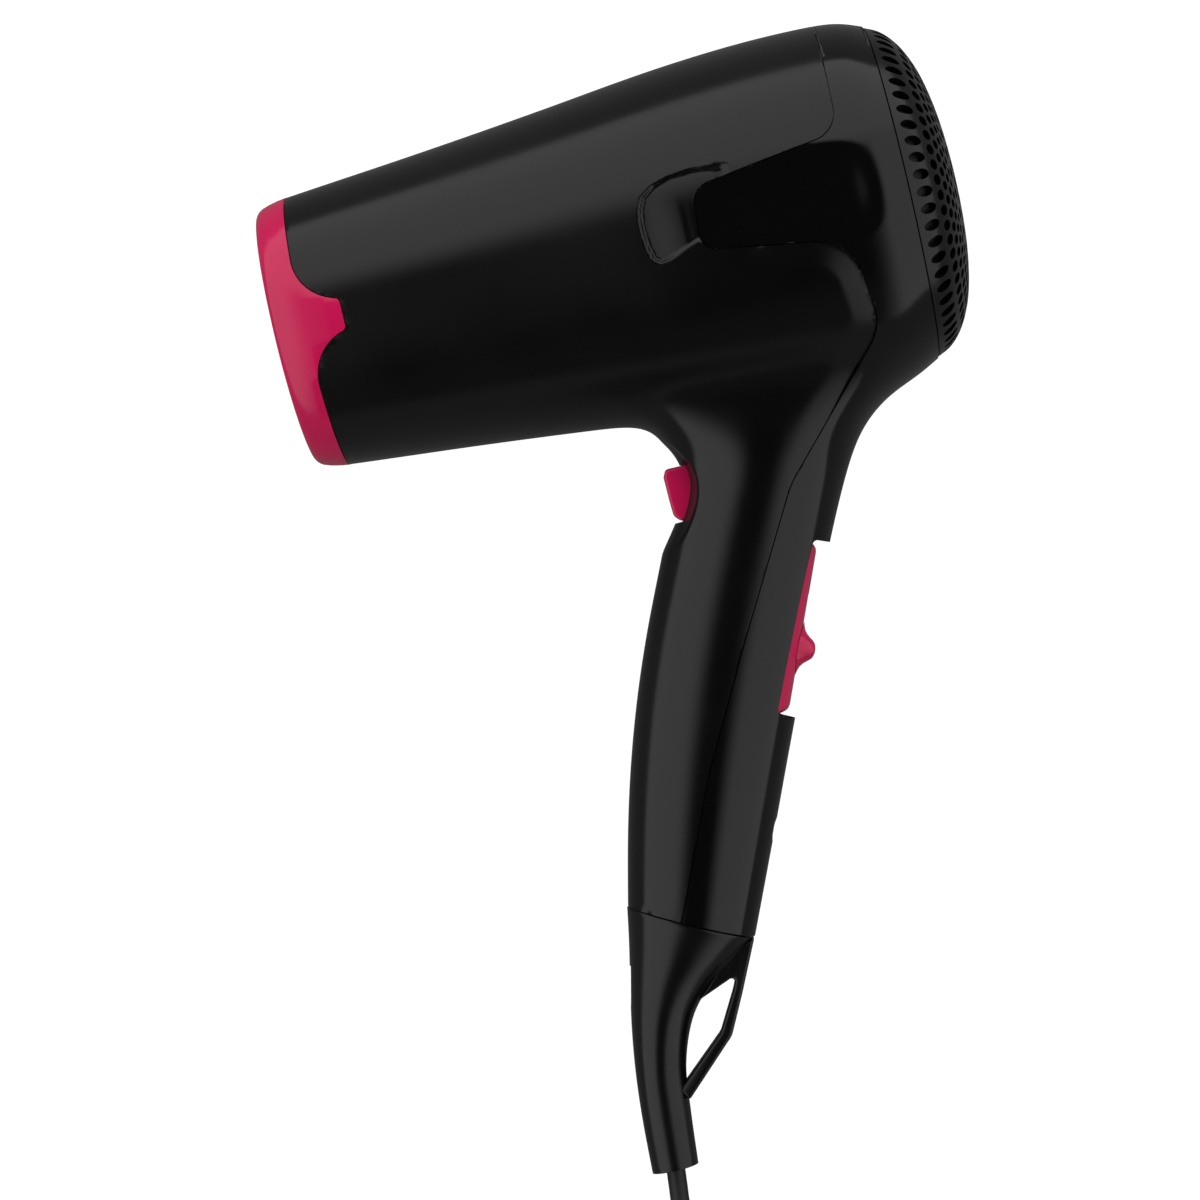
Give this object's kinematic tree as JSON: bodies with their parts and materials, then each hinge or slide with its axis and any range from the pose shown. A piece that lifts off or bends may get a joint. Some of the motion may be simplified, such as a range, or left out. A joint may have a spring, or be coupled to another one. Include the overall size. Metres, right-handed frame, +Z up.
{
  "type": "hair dryer",
  "caption": "Black pistol-grip hair dryer with a pink outlet ring, pink slide switch and cool-shot button, a domed inlet grille, a hanging loop and a coiled mains cord.",
  "frame": {"origin": "centre of the bottom of the dryer's bounding box, on the surface that it lies on, cord left out", "axes": "+Z up through the dryer lying on its side, +Y from the end of the handle towards the barrel, +X from the air outlet towards the air inlet"},
  "size_m": [0.1832, 0.4183, 0.0976],
  "materials": {
    "pink_gloss": "glossy, faintly mottled in its reflections",
    "black_gloss": "polished",
    "black_satin": "satin with a very fine grain",
    "black_rubber": "matt flexible sheath",
    "mica": "matt, slightly flaky",
    "resistance_wire": "oxidised wire",
    "steel": "zinc plated",
    "brass": "polished",
    "white_plastic": "moulded",
    "board_green": "lacquered laminate",
    "red_wire": "smooth sheath",
    "blue_wire": "smooth sheath"
  },
  "bodies": {
    "housing": {"clamp_screw_left": "steel", "clamp_screw_right": "steel", "control_board": "board_green", "cool_shot_spring": "steel", "cool_shot_switch": "white_plastic", "cord_clamp": "white_plastic", "cord_coil": "black_rubber", "cord_lead": "black_rubber", "cord_tail": "black_rubber", "cord_tie": "black_rubber", "fan_stator": "black_satin", "front_shell": "black_satin", "handle_boot": "black_gloss", "handle_screw": "steel", "heater_plate_flat": "mica", "heater_plate_upright": "mica", "heater_sleeve": "mica", "heater_winding": "resistance_wire", "inlet_filter": "steel", "motor_can": "steel", "motor_end_cap": "white_plastic", "noise_capacitor": "white_plastic", "outlet_grille": "black_satin", "outlet_ring": "pink_gloss", "plug_body": "black_rubber", "plug_pin_left": "brass", "plug_pin_right": "brass", "rear_shell": "black_gloss", "rectifier_board": "board_green", "screw_cover": "black_satin", "slide_switch_body": "white_plastic", "switch_panel": "pink_gloss", "thermal_fuse": "brass", "thermostat": "steel", "wire_live": "red_wire", "wire_neutral": "blue_wire"},
    "fan": {"fan_rotor": "black_satin", "motor_shaft": "steel"},
    "inlet_grille": {"inlet_grille": "black_satin"},
    "slider": {"speed_slider": "pink_gloss"},
    "cool_button": {"cool_shot_button": "pink_gloss"}
  },
  "joints": [
    {"name": "fan_spin", "type": "hinge", "parent": "housing", "child": "fan", "pos_m": [0.03259, 0.09335, 0.04722], "axis": [0.995, 0, 0.1], "continuous": true},
    {"name": "inlet_grille_pull", "type": "slide", "parent": "housing", "child": "inlet_grille", "axis": [0.995, 0, 0.1], "range_m": [0, 0.03]},
    {"name": "speed_slide", "type": "slide", "parent": "housing", "child": "slider", "axis": [0.374, 0.9115, 0.1712], "range_m": [0, 0.011]},
    {"name": "cool_shot_press", "type": "slide", "parent": "housing", "child": "cool_button", "axis": [0.995, 0, 0.1], "range_m": [0, 0.0025], "stiffness_N_per_m": 200, "springref_m": -0.001, "deforming": ["cool_shot_spring"]}
  ]
}
